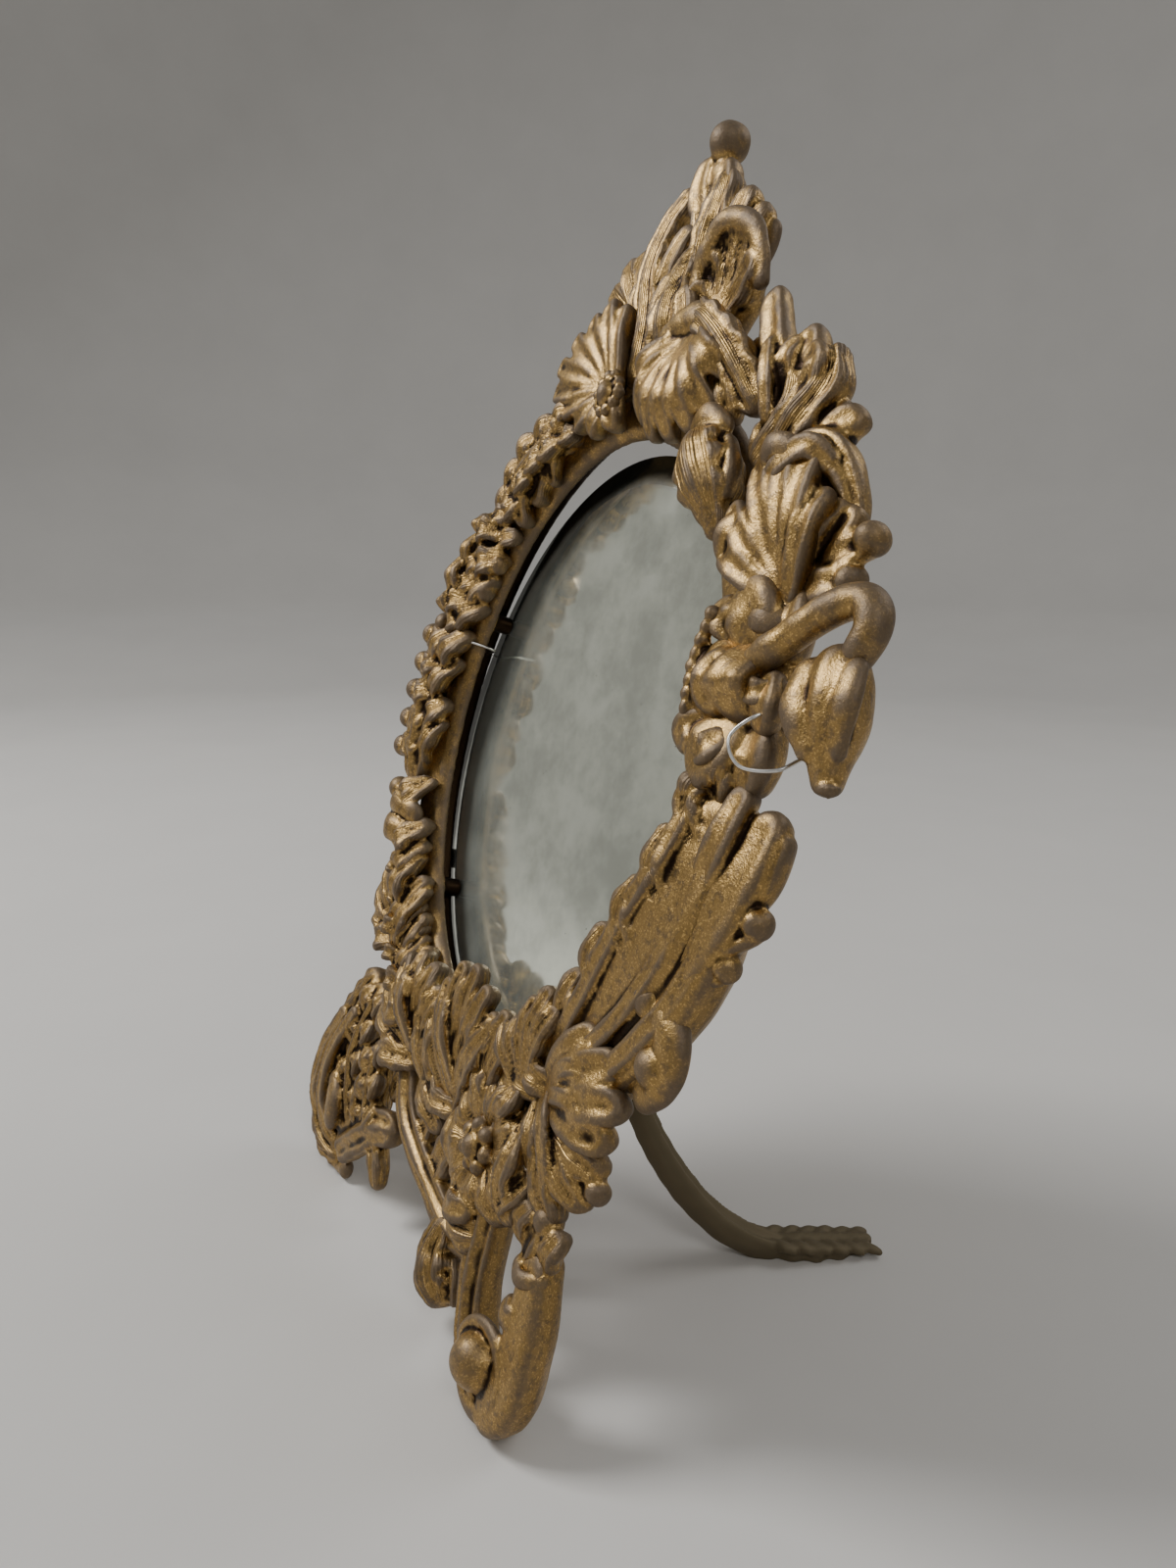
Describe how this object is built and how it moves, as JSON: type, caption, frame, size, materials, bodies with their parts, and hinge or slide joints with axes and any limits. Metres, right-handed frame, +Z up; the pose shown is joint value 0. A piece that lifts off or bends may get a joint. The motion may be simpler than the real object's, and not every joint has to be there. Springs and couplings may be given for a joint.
{
  "type": "easel table mirror",
  "caption": "Free-standing vanity mirror: a bevelled oval glass in an openwork cast frame of flowers and leaves, leaning back on two scroll feet and a folding rear strut.",
  "frame": {"origin": "centre of the whole object's footprint, on the surface that it stands on", "axes": "+Z up, -Y towards the viewer of the glass, +X to the viewer's right"},
  "size_m": [0.2667, 0.1631, 0.3723],
  "materials": {
    "bronze_cast": "cast metal painted gold-bronze, worn to grey-brown on its ridges",
    "mirror": "silvered plate glass with a bevelled edge, greenish, lightly spotted",
    "board": "thin dark backing board",
    "wire": "bright tie wire",
    "dark_iron": "dark bronzed iron",
    "steel": "plain steel"
  },
  "bodies": {
    "frame": {"acanthus_leaf": "bronze_cast", "acanthus_tips": "bronze_cast", "backing_board": "board", "base_leaves": "bronze_cast", "base_strand": "bronze_cast", "bell_bud": "bronze_cast", "berry_cluster": "bronze_cast", "bracket_rivets": "steel", "bud_stem": "bronze_cast", "c_scroll": "bronze_cast", "centre_shell": "bronze_cast", "corner_leaves": "bronze_cast", "crest_cup": "bronze_cast", "crest_fold": "bronze_cast", "crest_scroll": "bronze_cast", "crest_side_leaves": "bronze_cast", "curl_leaf": "bronze_cast", "daisy_heart": "bronze_cast", "daisy_petals": "bronze_cast", "draped_blossom": "bronze_cast", "fan_leaf": "bronze_cast", "finger_leaf": "bronze_cast", "finial_knop": "bronze_cast", "finial_leaf": "bronze_cast", "foot_bud": "bronze_cast", "hanging_leaf": "bronze_cast", "hinge_pin": "steel", "hinge_strap": "dark_iron", "horn_leaf": "bronze_cast", "knob_spray": "bronze_cast", "left_collar": "bronze_cast", "left_foot": "bronze_cast", "left_garland": "bronze_cast", "left_lower_leaves": "bronze_cast", "left_ribbon": "bronze_cast", "left_shoulder": "bronze_cast", "left_spray": "bronze_cast", "mirror_glass": "mirror", "pendant_bulb": "bronze_cast", "right_foot": "bronze_cast", "right_palmette": "bronze_cast", "rim_ring": "bronze_cast", "rose_bloom": "bronze_cast", "rose_calyx": "bronze_cast", "rosette_petals": "bronze_cast", "strap_leaf": "bronze_cast", "strap_screws": "steel", "strut_bracket": "dark_iron", "tie_wire": "wire", "tulip_bud": "bronze_cast"},
    "strut": {"strut_leg": "dark_iron"}
  },
  "joints": [
    {"name": "strut_fold", "type": "hinge", "parent": "frame", "child": "strut", "pos_m": [0.006, -0.00622, 0.1165], "axis": [0.9178, -0.3794, 0.1174], "range_deg": [-30, 0]}
  ]
}
